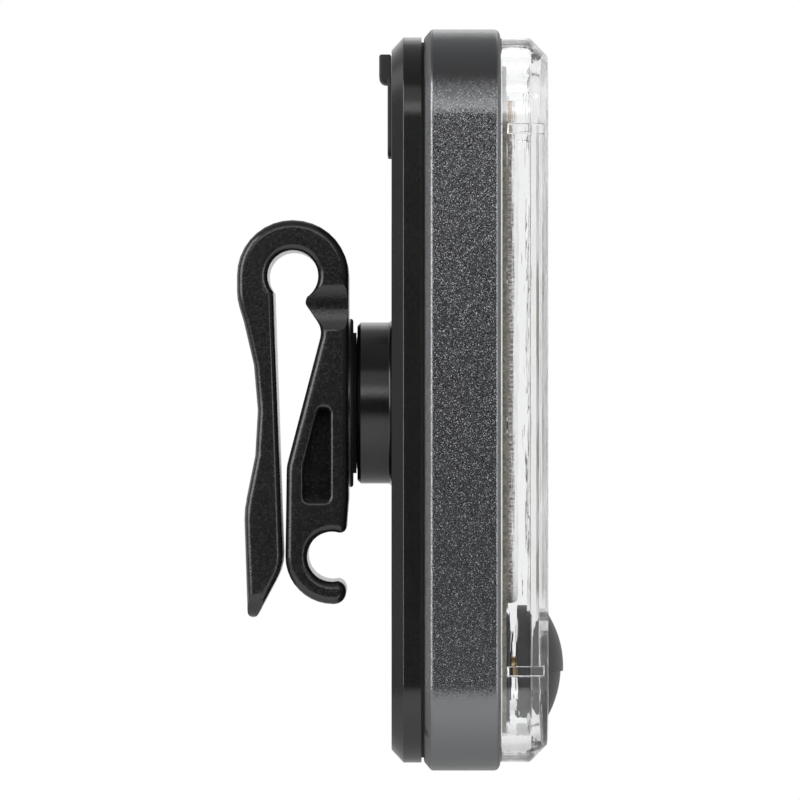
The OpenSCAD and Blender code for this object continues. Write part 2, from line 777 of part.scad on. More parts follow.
module back_cover()
    color([0.06, 0.06, 0.065])
        difference() {
            union() {
                difference() {
                    slab(case_outline, [
                        [cover_x, cover_inset + cover_bevel],
                        [cover_x + cover_bevel_depth, cover_inset],
                        [cover_front, cover_inset]
                    ]);
                    case_slab(cover_in_x, cover_front + over, cover_in);
                }
                boss();
                for (p = posts)
                    rod_x(cover_in_x - over, cover_front, post_r, p[0], p[1]);
            }
            rod_x(boss_x + boss_end_wall, cover_in_x + over, boss_d / 2 - boss_wall);
            rod_x(boss_x - over, boss_x + boss_end_wall + over, pivot_d / 2 + pivot_clear);
            difference() {
                rod_x(boss_x - over, oring_end + press_gap, (oring_d + oring_t) / 2 + part_clear);
                rod_x(boss_x - 2 * over, boss_x + boss_end_wall, (oring_d - oring_t) / 2 - part_clear);
            }
            for (p = posts) {
                rod_x(cover_x - over, cover_front + over, screw_d / 2 + part_clear, p[0], p[1]);
                rod_x(cover_x - over, cover_x + screw_sink + screw_head_h,
                    screw_head_d / 2 + part_clear, p[0], p[1]);
            }
            plate(cover_x - over, recess_x, flap_w + 2 * part_clear, flap_h + 2 * part_clear,
                flap_corner + part_clear, (flap_foot + flap_top) / 2);
            plate(cover_x - over, cover_in_x + over, port_w, port_h, port_h / 2 - least_r, port_z);
        }

module pivot_oring()
    color([0.12, 0.12, 0.12])
        turned_x()
            translate([oring_d / 2, oring_end - oring_t / 2])
                circle(d = oring_t);

// Fixed end of the rubber flap, held in the recess
module flap_anchor()
    color([0.13, 0.13, 0.135])
        along_x(flap_x, recess_x)
            polygon(rounded([
                [-flap_w / 2, flap_foot, flap_corner],
                [flap_w / 2, flap_foot, flap_corner],
                [flap_w / 2, hinge_z - flap_t / 2 - hinge_gap, 0],
                [-flap_w / 2, hinge_z - flap_t / 2 - hinge_gap, 0]
            ]));

module port_flap()
    color([0.13, 0.13, 0.135]) {
        along_x(flap_x, flap_in_x)
            polygon(rounded([
                [-flap_w / 2, hinge_z, 0],
                [flap_w / 2, hinge_z, 0],
                [flap_w / 2, flap_top, flap_corner],
                [-flap_w / 2, flap_top, flap_corner]
            ]));
        translate([hinge_x, 0, hinge_z])
            rotate([90, 0, 0])
                cylinder(h = flap_w, d = flap_t, center = true);
        plate(flap_in_x - over, flap_in_x + plug_depth, port_w - 2 * plug_clear,
            port_h - 2 * plug_clear, port_h / 2 - plug_clear - least_r, port_z);
        along_y(tab_w)
            polygon(rounded([
                [tab_in_x, tab_top - tab_h, 0],
                [tab_in_x, tab_top, tab_edge],
                [cover_x - tab_proud, tab_top, tab_edge],
                [cover_x - tab_proud, tab_top - tab_h, tab_corner]
            ]));
    }

module rear_gasket()
    color([0.03, 0.03, 0.03])
        case_ring(cover_front, housing_x, cover_inset + gasket_setback, housing_wall);

module housing()
    color([0.27, 0.28, 0.29])
        difference() {
            union() {
                difference() {
                    slab(case_outline, concat(
                        [[housing_x, rear_bevel], [housing_x + rear_bevel_depth, 0]],
                        round_levels(housing_front, front_round_depth, front_round)
                    ));
                    case_slab(housing_x - over, ledge_x, housing_wall);
                }
                for (p = posts)
                    rod_x(housing_x, ledge_x + fuse, post_r, p[0], p[1]);
            }
            case_slab(ledge_x - over, housing_front + over, ledge_in);
            case_slab(ledge_front, housing_front + over, housing_wall);
            case_ring(groove_x, ledge_front + over, housing_wall, groove_in);
            for (p = posts)
                rod_x(housing_x - over, screw_end + rest_gap, screw_d / 2 + press_gap, p[0], p[1]);
        }

// One case screw with a six-sided socket
module case_screw()
    difference() {
        union() {
            rod_x(cover_x + screw_sink, cover_x + screw_sink + screw_head_h, screw_head_d / 2);
            rod_x(cover_x + screw_sink, screw_end, screw_d / 2);
        }
        translate([cover_x + screw_sink - over, 0, 0])
            rotate([0, 90, 0])
                cylinder(h = over + screw_socket_depth, d = screw_socket_d, $fn = 6);
    }

module case_screws()
    color([0.3, 0.3, 0.31])
        for (p = posts)
            translate([0, p[0], p[1]])
                case_screw();

module chassis()
    color([0.16, 0.16, 0.17])
        difference() {
            union() {
                case_slab(chassis_x, ledge_x, chassis_in);
                difference() {
                    plate(chassis_x - cell_rim, chassis_x + fuse, cell_w + 2 * cell_rim_wall,
                        cell_h + 2 * cell_rim_wall, cell_corner + cell_rim_wall, cell_z);
                    plate(chassis_x - cell_rim - over, chassis_x, cell_w + 2 * part_clear,
                        cell_h + 2 * part_clear, cell_corner, cell_z);
                    plate(chassis_x - cell_rim - over, chassis_x, cell_w / 2, cell_h, cell_corner,
                        cell_z + cell_h / 2);
                }
            }
            for (p = posts)
                rod_x(chassis_x - cell_rim - over, ledge_x + over, post_r + part_clear, p[0], p[1]);
            plate(chassis_x - over, ledge_x + over, link_w + 2 * link_slack, link_h + 2 * link_slack,
                link_slack, link_z);
        }

module battery()
    color([0.62, 0.64, 0.67])
        slab(rect(cell_w, cell_h, cell_corner, cell_z), [
            [cell_x, cell_edge], [cell_x + cell_edge, 0], [chassis_x - cell_edge, 0], [chassis_x, cell_edge]
        ]);

module battery_pad()
    color([0.2, 0.2, 0.22])
        plate(cover_in_x, cell_x, cell_w - 2 * pad_inset, cell_h / 2 - 2 * pad_inset, cell_corner,
            cell_z - cell_h / 4);

// Two flat leads from the top of the cell to the control board
module battery_tabs()
    color([0.75, 0.74, 0.7])
        for (side = [-1, 1])
            translate([0, side * cell_w / 6, 0])
                plate(main_board_x - lead_t, main_board_x, lead_w, lead_h, lead_t,
                    cell_z + (cell_h + lead_h) / 2);

module main_board()
    color([0.08, 0.3, 0.16])
        plate(main_board_x, chassis_x, main_board_w, main_board_h, board_corner, main_board_z);

// Controller, coil and charger chips on the back of the control board
module board_chips()
    color([0.1, 0.1, 0.11]) {
        plate(main_board_x - chip_t, main_board_x, chip_w, chip_w, small_r, chip_z);
        for (side = [-1, 1])
            translate([0, side * main_board_w / 3, 0]) {
                plate(main_board_x - coil_t, main_board_x, chip_w, chip_w, board_corner, chip_z);
                plate(main_board_x - cap_t, main_board_x, cap_w, cap_h, small_r, cap_z);
            }
    }

module usb_socket()
    color([0.74, 0.75, 0.77]) {
        difference() {
            plate(socket_x, main_board_x, socket_w, socket_h, socket_h / 2 - least_r, port_z);
            plate(cover_in_x - over, main_board_x - socket_back, socket_w - 2 * socket_wall,
                socket_h - 2 * socket_wall, socket_h / 2 - socket_wall - least_r, port_z);
        }
        plate(blade_x, main_board_x - socket_back + fuse, socket_w - 2 * blade_margin, blade_t, small_r,
            port_z);
    }

module board_link()
    color([0.12, 0.12, 0.12])
        plate(chassis_x, ledge_front, link_w, link_h, link_slack, link_z);

module led_board()
    color([0.9, 0.9, 0.88])
        case_slab(ledge_front, led_front, led_board_in);

// LED strip with round ends on its plate, from below the top of the housing to above the button
strip_from = button_z_row + strip_foot;
strip_to = case_rise + case_h / 2 - strip_top;
strip_z = (strip_from + strip_to) / 2;
strip_round = 0.6;
strip_round_in = 0.8;
film_slack = 0.3;
film_front = led_front + film_t;

// Slab of the strip's outline, widened, between two planes
module strip_slab(from, to, margin)
    plate(from, to, strip_w + 2 * margin, strip_to - strip_from + 2 * margin,
        strip_w / 2 + margin - least_r, strip_z);

module strip_base()
    color([0.93, 0.93, 0.92])
        strip_slab(led_front, strip_x, strip_margin);

module led_strip()
    color([0.66, 0.6, 0.38])
        slab(rect(strip_w, strip_to - strip_from, strip_w / 2 - least_r, strip_z),
            concat([[strip_x, 0]], round_levels(strip_x + strip_t, strip_round, strip_round_in)));

// Resistors in a row beside the strip, from near its top
resistor_y = strip_w / 2 + strip_margin + film_slack + 2 * resistor_w;
resistor_z = strip_to - 2 * resistor_l;
resistor_rows = [for (i = [0:2]) resistor_z - i * resistor_pitch];

module led_resistors()
    color([0.08, 0.08, 0.09])
        for (z = resistor_rows)
            translate([0, -resistor_y, 0])
                plate(led_front, led_front + resistor_t, resistor_w, resistor_l, small_r, z);

// White film on the LED board, with a window for each piece that stands there
module reflector()
    color([0.96, 0.96, 0.95])
        difference() {
            case_slab(led_front, film_front, led_board_in);
            strip_slab(led_front - over, film_front + over, strip_margin + film_slack);
            plate(led_front - over, film_front + over, switch_w + 2 * film_slack, switch_w + 2 * film_slack,
                switch_corner + film_slack, button_z_row);
            for (z = resistor_rows)
                translate([0, -resistor_y, 0])
                    plate(led_front - over, film_front + over, resistor_w + 2 * film_slack,
                        resistor_l + 2 * film_slack, film_slack, z);
        }

module tact_switch()
    color([0.1, 0.1, 0.1])
        plate(led_front, switch_x, switch_w, switch_w, switch_corner, button_z_row);

module switch_stem()
    color([0.7, 0.5, 0.33])
        rod_x(switch_x, stem_x, switch_stem_r, 0, button_z_row);

module lens_gasket()
    color([0.85, 0.85, 0.85])
        case_ring(groove_x, skirt_x, skirt_out, skirt_in);

module lens()
    color([0.92, 0.94, 0.95, 0.35])
        difference() {
            union() {
                difference() {
                    union() {
                        slab(case_outline, [
                            [housing_front, lens_inset],
                            [lens_front - lens_bevel_depth, lens_inset],
                            [lens_front, lens_inset + lens_bevel]
                        ]);
                        case_slab(skirt_x, housing_front + fuse, skirt_out);
                    }
                    case_slab(skirt_x - over, lens_in_x, skirt_in);
                }
                for (side = [0, 1], end = [-1, 1])
                    mirror([0, side, 0])
                        translate([
                            film_front + part_clear,
                            case_w / 2 - skirt_in - lens_rib_reach,
                            case_rise + end * (case_h / 2 - lens_rib_z) - lens_rib_t / 2
                        ])
                            cube([lens_in_x - film_front, lens_rib_reach + fuse, lens_rib_t]);
            }
            rod_x(lens_in_x - over, lens_front + over, button_hole_r, 0, button_z_row);
        }

// Profile of a dome of a given foot radius and height on the front of the lens, from foot to crown
dome_steps = 8;
function dome(r, h) =
    let (
        ball_r = (r * r + h * h) / (2 * h),
        reach = asin(r / ball_r)
    )
    [for (i = [0:dome_steps]) let (a = reach * (1 - i / dome_steps))
        [ball_r * sin(a), lens_front + h - ball_r * (1 - cos(a))]];

// Place of the step that lowers the foot of the button
step_drop = 0.45;
step_z = button_z_row - step_drop;
crown_x = lens_front + button_proud;

module button()
    color([0.2, 0.2, 0.21])
        difference() {
            turned_x(button_z_row)
                polygon(concat(
                    [[0, rim_x], [button_r + button_rim, rim_x], [button_r + button_rim, rim_front],
                        [button_r, rim_front]],
                    dome(button_r, button_proud)
                ));
            intersection() {
                turned_x(button_z_row)
                    polygon(concat(
                        [[0, crown_x + over], [button_r + over, crown_x + over],
                            [button_r + over, lens_front]],
                        dome(button_step_r, button_step)
                    ));
                translate([lens_front - over, -button_r - over, step_z - 2 * button_r])
                    cube([button_proud + 2 * over, 2 * button_r + 2 * over, 2 * button_r]);
            }
            rod_x(rim_x - over, plunger_end, plunger_r + press_gap, 0, button_z_row);
        }

module button_plunger()
    color([0.8, 0.8, 0.8])
        rod_x(plunger_x, plunger_end - press_gap, plunger_r, 0, button_z_row);

clip();
thread_insert();
pivot_screw();
pivot_washer();
back_cover();
pivot_oring();
flap_anchor();
port_flap();
rear_gasket();
housing();
case_screws();
chassis();
battery();
battery_pad();
battery_tabs();
main_board();
board_chips();
usb_socket();
board_link();
led_board();
strip_base();
led_strip();
led_resistors();
reflector();
tact_switch();
switch_stem();
lens_gasket();
lens();
button();
button_plunger();
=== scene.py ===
"""Looks of the bike light: finishes, small details, floor, light and camera."""
import json
import math

import bmesh
import bpy
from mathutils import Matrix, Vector


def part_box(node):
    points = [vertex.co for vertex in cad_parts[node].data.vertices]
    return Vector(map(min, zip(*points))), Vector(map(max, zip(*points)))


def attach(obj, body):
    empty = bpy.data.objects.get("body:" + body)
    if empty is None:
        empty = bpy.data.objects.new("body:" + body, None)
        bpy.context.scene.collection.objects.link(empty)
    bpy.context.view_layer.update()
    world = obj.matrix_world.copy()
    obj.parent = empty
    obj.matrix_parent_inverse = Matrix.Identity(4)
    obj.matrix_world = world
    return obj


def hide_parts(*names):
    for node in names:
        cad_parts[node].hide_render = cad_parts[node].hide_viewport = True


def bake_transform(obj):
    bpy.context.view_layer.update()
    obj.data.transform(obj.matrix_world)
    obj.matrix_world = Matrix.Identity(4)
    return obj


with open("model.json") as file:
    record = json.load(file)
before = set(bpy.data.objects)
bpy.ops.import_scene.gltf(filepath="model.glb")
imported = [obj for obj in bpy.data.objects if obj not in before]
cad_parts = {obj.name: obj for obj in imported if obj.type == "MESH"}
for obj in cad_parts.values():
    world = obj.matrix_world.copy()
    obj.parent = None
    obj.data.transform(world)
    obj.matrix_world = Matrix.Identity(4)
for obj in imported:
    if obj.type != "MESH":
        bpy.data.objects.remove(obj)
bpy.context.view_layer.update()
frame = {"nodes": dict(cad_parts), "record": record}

MM = 0.001

# Camera: the light's side from the photograph's distance
CAMERA_FROM = Vector((0.0110, -0.910, 0.0003))
NEAR_FACE_Y = -0.010
VIEW_WIDTH = 0.080
SENSOR = 36.0

# Floor: a disc below the part, with a soft edge
FLOOR_Z = -0.062
FLOOR_R = 0.28
FLOOR_SOLID_R = 0.10
FLOOR_CENTRE = (0.011, 0.0)
FLOOR_TONE = 0.85
FLOOR_GLOW = 0.25
# Floor as reflections see it: bright in front, then dull behind the part, a painted shadow of the
# part
FLOOR_SHINE = 0.72
FLOOR_PAINTED_SHADE = 0.06
FLOOR_PAINTED_SHADE_Y = (-0.05, 0.02)
FLOOR_POINTS = 96

# Lamps: name, place, width, height, watts; each looks at the part's middle
LAMP_TARGET = Vector((0.011, 0.0, 0.0))
LAMPS = (
    ("lamp_front", (0.00, -0.85, 0.43), 0.90, 0.66, 1.6),
    ("lamp_low", (0.00, -0.91, 0.28), 0.80, 0.20, 0.9),
    ("lamp_left", (-0.76, -0.50, 0.30), 0.56, 0.80, 7.0),
    ("lamp_side", (-0.90, 0.42, 0.10), 0.40, 0.90, 1.2),
    ("lamp_right", (0.76, -0.60, 0.12), 0.36, 0.90, 3.2),
    ("lamp_back", (0.25, 0.85, 0.60), 0.60, 0.60, 0.6),
    ("lamp_edge", (0.95, 0.05, 0.10), 0.40, 0.90, 0.8),
)

# World: two even levels, then levels by direction, from the camera's side to the far side
WORLD_SHOWN = 1.0
WORLD_DIFFUSE = 0.25
GLOSS_LEVELS = ((0.00, 0.02), (0.15, 0.15), (0.36, 0.32), (0.50, 0.36),
                (0.60, 0.45), (0.80, 0.55), (0.88, 0.70), (0.95, 1.00))
CLEAR_LEVELS = ((0.00, 0.35), (0.25, 0.50), (0.50, 0.80), (0.65, 1.00))

# The clear lens guides light from side to side, which takes many bounces
LENS_BOUNCES = 32

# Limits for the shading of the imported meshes
WELD = 0.002 * MM
FLAT_ANGLE = math.radians(0.6)
SMOOTH_ANGLE = math.radians(32)


# Node helpers
def connect(tree, entry, value):
    """Feeds a node's input from another node, or gives it a value."""
    if isinstance(value, bpy.types.NodeSocket):
        tree.links.new(value, entry)
    else:
        entry.default_value = value


def add(tree, kind, inputs=None, **settings):
    """Adds a node and sets its properties and its inputs."""
    node = tree.nodes.new(kind)
    for name, value in settings.items():
        setattr(node, name, value)
    for name, value in (inputs or {}).items():
        connect(tree, node.inputs[name], value)
    return node


def number(tree, operation, first, second=0.0):
    """One step of arithmetic in a node tree."""
    return add(tree, "ShaderNodeMath", {0: first, 1: second}, operation=operation).outputs[0]


def vector(tree, operation, first, second=(0.0, 0.0, 0.0), out="Vector"):
    """One step of vector arithmetic in a node tree."""
    node = add(tree, "ShaderNodeVectorMath", {0: first, 1: second}, operation=operation)
    return node.outputs[out]


def split(tree, value):
    """The X, Y and Z of a vector in a node tree."""
    return add(tree, "ShaderNodeSeparateXYZ", {0: value}).outputs


def grey(level, red=0.0, blue=0.0):
    """An opaque grey, shifted a little to red or blue."""
    return (level * (1 + red), level, level * (1 + blue), 1.0)


# Patterns: middle of a cell, blur of a square in its pitch, and raggedness of a border
CELL_MIDDLE = (0.5, 0.5, 0.5)
SQUARE_BLUR = 0.06
RAGGED = 0.6

# Colour sockets of a mix node: its two inputs and its output
MIX_FIRST, MIX_SECOND, MIX_OUT = 6, 7, 2


class Finish:
    """A procedural material: one Principled shader with nodes that drive it."""

    def __init__(self, name, inputs):
        self.material = bpy.data.materials.new(name)
        self.material.use_nodes = True
        self.tree = self.material.node_tree
        self.shader = self.tree.nodes["Principled BSDF"]
        for entry, value in inputs.items():
            self.shader.inputs[entry].default_value = value
        self.place = add(self.tree, "ShaderNodeTexCoord").outputs["Object"]

    def noise(self, size, detail=2.0, stretch=(1.0, 1.0, 1.0)):
        """Noise from 0 to 1 with features of about this size, in metres, drawn out by stretch."""
        place = vector(self.tree, "DIVIDE", self.place, stretch)
        node = add(self.tree, "ShaderNodeTexNoise",
                   {"Vector": place, "Scale": 1 / size, "Detail": detail})
        return node.outputs["Fac"]

    def along(self, axis, start, end):
        """Rises from 0 to 1 between two places along an axis."""
        return self.remap(split(self.tree, self.place)[axis], start, end, 0.0, 1.0)

    def cells(self, size):
        """Random colour per cell of about this size, in metres."""
        node = add(self.tree, "ShaderNodeTexVoronoi", {"Vector": self.place, "Scale": 1 / size})
        return node.outputs["Color"]

    def remap(self, value, low, high, to_low, to_high):
        """Maps value from one range to another, without going beyond it."""
        node = add(self.tree, "ShaderNodeMapRange",
                   {"Value": value, "From Min": low, "From Max": high,
                    "To Min": to_low, "To Max": to_high})
        return node.outputs["Result"]

    def mix(self, value, first, second):
        """Mixes two colours by value."""
        node = add(self.tree, "ShaderNodeMix", {"Factor": value}, data_type="RGBA")
        connect(self.tree, node.inputs[MIX_FIRST], first)
        connect(self.tree, node.inputs[MIX_SECOND], second)
        return node.outputs[MIX_OUT]

    def off_line(self, start, end):
        """Distance in Y and Z from an upright line between two heights."""
        parts = split(self.tree, self.place)
        held = add(self.tree, "ShaderNodeClamp",
                   {"Value": parts["Z"], "Min": start, "Max": end}).outputs[0]
        near = add(self.tree, "ShaderNodeCombineXYZ", {"X": parts["X"], "Z": held}).outputs[0]
        return vector(self.tree, "DISTANCE", self.place, near, "Value")

    def grid(self, pitch, share):
        """1 in squares on a grid in Y and Z that fill this share of its pitch, else 0."""
        wide = vector(self.tree, "DIVIDE", self.place, (pitch, pitch, pitch))
        off = vector(self.tree, "SUBTRACT", vector(self.tree, "FRACTION", wide), CELL_MIDDLE)
        parts = split(self.tree, vector(self.tree, "ABSOLUTE", off))
        far = number(self.tree, "MAXIMUM", parts["Y"], parts["Z"])
        return self.remap(far, share / 2 - SQUARE_BLUR, share / 2 + SQUARE_BLUR, 1.0, 0.0)

    def own_normal(self):
        """X, Y and Z of the surface's direction, in the piece's own frame."""
        return split(self.tree, add(self.tree, "ShaderNodeTexCoord").outputs["Normal"])

    def facing_front(self, low, high, jitter):
        """Rises from 0 to 1 as the surface turns to the front, with a ragged border."""
        normal = add(self.tree, "ShaderNodeNewGeometry").outputs["Normal"]
        size = number(self.tree, "ABSOLUTE", split(self.tree, normal)["X"])
        ragged = number(self.tree, "ADD", size, number(self.tree, "MULTIPLY", jitter, RAGGED))
        return self.remap(ragged, low + RAGGED / 2, high + RAGGED / 2, 0.0, 1.0)

    def drive(self, entry, output):
        """Feeds a shader input from a node."""
        self.tree.links.new(output, self.shader.inputs[entry])

    def bump(self, height, depth):
        """Relief of this depth in metres on the surface."""
        node = add(self.tree, "ShaderNodeBump",
                   {"Height": height, "Distance": depth, "Strength": 1.0})
        self.drive("Normal", node.outputs["Normal"])


# Ranges of a noise that are spread over a whole change
WIDE = (0.3, 0.7)
NARROW = (0.35, 0.65)

# Moulded skins: size of the uneven tone, spread of the roughness, and the clip's matt face
CLOUD = 6 * MM
ROUGH_SPREAD = 0.07
SWIVEL_FACE_X = 5.9 * MM
SWIVEL_FACE_BLUR = 0.2 * MM


def moulded(name, dark, light, rough, grain, depth):
    """Moulded plastic or rubber: uneven tone and gloss, with a fine skin grain."""
    finish = Finish(name, {})
    cloud = finish.noise(CLOUD, detail=3.0)
    speck = finish.noise(grain)
    finish.drive("Base Color", finish.mix(finish.remap(cloud, *WIDE, 0, 1), dark, light))
    finish.drive("Roughness",
                 finish.remap(speck, *WIDE, rough - ROUGH_SPREAD, rough + ROUGH_SPREAD))
    finish.bump(speck, depth)
    return finish


def clip_plastic(name):
    """Black moulding with a sparkling spark-eroded grain, and a matt swivel face."""
    finish = moulded(name, grey(0.008, blue=0.10), grey(0.012, blue=0.10), rough=0.22,
                     grain=0.24 * MM, depth=0.014 * MM)
    shine = finish.shader.inputs["Roughness"].links[0].from_socket
    face = finish.along("X", SWIVEL_FACE_X, SWIVEL_FACE_X + SWIVEL_FACE_BLUR)
    finish.drive("Roughness", number(finish.tree, "MAXIMUM", shine, face))
    return finish


def metal(name, dark, light, rough, grain, depth):
    """Bare metal: uneven tone and gloss with fine marks."""
    finish = moulded(name, dark, light, rough, grain, depth)
    finish.shader.inputs["Metallic"].default_value = 1.0
    return finish


# Gunmetal coat: its flakes and the bare ones among them; top and foot slopes with fewer bright
# flakes, a painted shade of their dimmer sparkle; and bevels with less gloss
FLAKE = 0.066 * MM
FLAKE_TILT = 0.08
FLAKE_TONE = grey(0.150, -0.02, 0.03)
FLAKE_ROUGH = 0.27
BARE_SHARE = (0.60, 0.80)
BARE_TILT = 0.33
BARE_TONE = grey(0.210, -0.02, 0.03)
BARE_ROUGH = 0.15
TOP_SLOPE = (0.34, 0.58)
FOOT_SLOPE = (-0.02, -0.25)
PAINTED_END_SPARKLE = 0.12
BEVEL_SLOPE = (0.50, 0.70)
BEVEL_ROUGH = 0.50


def gunmetal(name):
    """Dark metallic coat: tiny flakes with a tilt of their own, some of them bare and bright."""
    finish = Finish(name, {"Metallic": 1.0})
    flakes = finish.cells(FLAKE)
    level = add(finish.tree, "ShaderNodeSeparateColor", {"Color": flakes}).outputs["Red"]
    turned = finish.own_normal()
    # Painted shade: fewer bright bare flakes towards the top and the foot, so those slopes
    # sparkle less and are a little darker
    share = finish.remap(turned["Z"], *TOP_SLOPE, 1.0, PAINTED_END_SPARKLE)
    share = finish.remap(turned["Z"], *FOOT_SLOPE, share, PAINTED_END_SPARKLE)
    bare = finish.remap(level, *BARE_SHARE, 0, share)
    finish.drive("Base Color", finish.mix(bare, FLAKE_TONE, BARE_TONE))
    lean = number(finish.tree, "ABSOLUTE", turned["X"])
    rough = finish.remap(bare, 0, 1, FLAKE_ROUGH, BARE_ROUGH)
    finish.drive("Roughness", finish.remap(lean, *BEVEL_SLOPE, rough, BEVEL_ROUGH))
    tilt = finish.remap(bare, 0, 1, FLAKE_TILT, BARE_TILT)
    centred = vector(finish.tree, "SUBTRACT", flakes, CELL_MIDDLE)
    tilted = add(finish.tree, "ShaderNodeVectorMath",
                 {0: centred, "Scale": tilt}, operation="SCALE").outputs["Vector"]
    normal = add(finish.tree, "ShaderNodeNewGeometry").outputs["Normal"]
    summed = vector(finish.tree, "ADD", normal, tilted)
    finish.drive("Normal", vector(finish.tree, "NORMALIZE", summed))
    return finish


# Clear plastic: its waves, its haze and its tint
LENS_IOR = 1.585
LENS_TINT = (0.995, 1.0, 1.0, 1.0)
WAVE = 0.5 * MM
WAVE_STRETCH = (1.0, 1.0, 12.0)
WAVE_DEPTH = 0.012 * MM
HAZE = 0.6 * MM
HAZE_ROUGH = 0.04

# Painted reflections of the LED strip, as lines on the long sides of the lens: place, half width
# and tint; then their fading
PAINTED_LENS_REFLECTIONS = (
    (24.67 * MM, 0.13 * MM, (0.10, 0.09, 0.07, 1.0)),
    (25.20 * MM, 0.04 * MM, (0.12, 0.12, 0.13, 1.0)),
    (25.55 * MM, 0.25 * MM, (0.50, 0.50, 0.51, 1.0)),
)
LINE_BLUR = 0.04 * MM
LINE_ENDS = ((-21.5 * MM, -18.5 * MM), (29.0 * MM, 26.0 * MM))
LINE_SLOPE = (0.4, 0.6)
LINE_PATCH = 3 * MM
LINE_STRETCH = (0.2, 1.0, 3.0)
LINE_RANGE = (0.35, 0.60)
LINE_LEAST = 0.45


def clear_plastic(name):
    """Polished clear plastic with a faint waviness, and painted reflections of the strip as lines
    on its long sides.
    """
    finish = Finish(name, {"IOR": LENS_IOR, "Transmission Weight": 1.0})
    finish.drive("Roughness", finish.remap(finish.noise(HAZE), *WIDE, 0.0, HAZE_ROUGH))
    finish.bump(finish.noise(WAVE, stretch=WAVE_STRETCH), WAVE_DEPTH)
    across = number(finish.tree, "ABSOLUTE", finish.own_normal()["Y"])
    patch = finish.noise(LINE_PATCH, stretch=LINE_STRETCH)
    shown = finish.remap(patch, *LINE_RANGE, LINE_LEAST, 1.0)
    shown = finish.remap(across, *LINE_SLOPE, 0.0, shown)
    for end, full in LINE_ENDS:
        shown = number(finish.tree, "MULTIPLY", shown, finish.along("Z", end, full))
    place = split(finish.tree, finish.place)["X"]
    tint_with_reflections = LENS_TINT
    # Each line is a painted reflection of the strip's cut side, laid into the lens colour
    for middle, half, colour in PAINTED_LENS_REFLECTIONS:
        far = number(finish.tree, "ABSOLUTE", number(finish.tree, "SUBTRACT", place, middle))
        tint_with_reflections = finish.mix(finish.remap(far, half, half + LINE_BLUR, shown, 0.0), tint_with_reflections, colour)
    finish.drive("Base Color", tint_with_reflections)
    return finish


# LED strip: its white dam, the dies under its gel, and its cut sides, tan at the top
DAM_W = 1.5 * MM
DAM_BLUR = 0.2 * MM
DAM_TONES = (grey(0.74), grey(0.82))
GEL_PATCH = 1.4 * MM
GEL_TONES = ((0.60, 0.53, 0.30, 1.0), (0.68, 0.60, 0.36, 1.0))
DIE_PITCH = 1.1 * MM
DIE_SHARE = 0.34
DIE_TONE = (0.72, 0.55, 0.20, 1.0)
STRIP_GRAIN = 0.25 * MM
STRIP_DEPTH = 0.03 * MM
STRIP_ROUGH = (0.35, 0.60)
STRIP_FACE = (0.05, 0.40)
STRIP_CUT_RANGE = (0.38, 0.62)
STRIP_CUT_TONES = ((0.085, 0.08, 0.068, 1.0), (0.36, 0.34, 0.30, 1.0))
TAN_Z = (26 * MM, 29 * MM)
TAN_TONE = (0.42, 0.33, 0.23, 1.0)


def phosphor(name):
    """LED strip: yellow gel in a white dam, with rough grey-brown cut sides."""
    finish = Finish(name, {})
    grain = finish.noise(STRIP_GRAIN, detail=3.0)
    patch = finish.remap(finish.noise(GEL_PATCH), *NARROW, 0, 1)
    gel = finish.mix(finish.grid(DIE_PITCH, DIE_SHARE), finish.mix(patch, *GEL_TONES), DIE_TONE)
    dam = finish.mix(patch, *DAM_TONES)
    cut = finish.mix(finish.remap(grain, *STRIP_CUT_RANGE, 0, 1), *STRIP_CUT_TONES)
    cut = finish.mix(finish.along("Z", *TAN_Z), cut, TAN_TONE)
    low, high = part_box("led_strip")
    half = (high[1] - low[1]) / 2
    off = finish.off_line(low[2] + half, high[2] - half)
    top = finish.mix(finish.remap(off, half - DAM_W - DAM_BLUR, half - DAM_W, 0, 1), gel, dam)
    finish.drive("Base Color", finish.mix(finish.facing_front(*STRIP_FACE, grain), cut, top))
    finish.drive("Roughness", finish.remap(grain, *WIDE, *STRIP_ROUGH))
    finish.bump(grain, STRIP_DEPTH)
    return finish


# Boards and films: their weave, and their cut sides, clean at the top end
WEAVE = 0.4 * MM
WEAVE_DEPTH = 0.004 * MM
BOARD_ROUGH = (0.40, 0.55)
BOARD_FACE = (0.5, 0.8)
BOARD_CUT_TONES = ((0.13, 0.12, 0.10, 1.0), (0.27, 0.25, 0.21, 1.0))
CLEAN_Z = (27.5 * MM, 29.5 * MM)


def faced(name, dark, light):
    """White on the face and bare grey-brown on the cut sides, as of a board or a film."""
    finish = Finish(name, {})
    weave = finish.noise(WEAVE)
    face = finish.mix(finish.remap(weave, *WIDE, 0, 1), dark, light)
    cut = finish.mix(finish.remap(weave, *NARROW, 0, 1), *BOARD_CUT_TONES)
    cut = finish.mix(finish.along("Z", *CLEAN_Z), cut, face)
    finish.drive("Base Color", finish.mix(finish.facing_front(*BOARD_FACE, weave), cut, face))
    finish.drive("Roughness", finish.remap(weave, *WIDE, *BOARD_ROUGH))
    finish.bump(weave, WEAVE_DEPTH)
    return finish


# Chip resistors: their spacing up the board, the place of one, and its tinned ends
RESISTOR_STEP = 15 * MM
RESISTOR_Z = 12.75 * MM
TIN_START = 0.42 * MM
TIN_BLUR = 0.02 * MM
TIN_TONE = grey(0.62)


def resistor(name):
    """Black chip with bright tinned ends."""
    finish = moulded(name, grey(0.014), grey(0.022), rough=0.45,
                     grain=0.15 * MM, depth=0.004 * MM)
    height = split(finish.tree, finish.place)["Z"]
    moved = number(finish.tree, "SUBTRACT", height, RESISTOR_Z - RESISTOR_STEP / 2)
    share = number(finish.tree, "FLOORED_MODULO", moved, RESISTOR_STEP)
    far = number(finish.tree, "ABSOLUTE",
                 number(finish.tree, "SUBTRACT", share, RESISTOR_STEP / 2))
    tin = finish.remap(far, TIN_START, TIN_START + TIN_BLUR, 0, 1)
    body = finish.shader.inputs["Base Color"].links[0].from_socket
    finish.drive("Base Color", finish.mix(tin, body, TIN_TONE))
    finish.drive("Metallic", tin)
    return finish


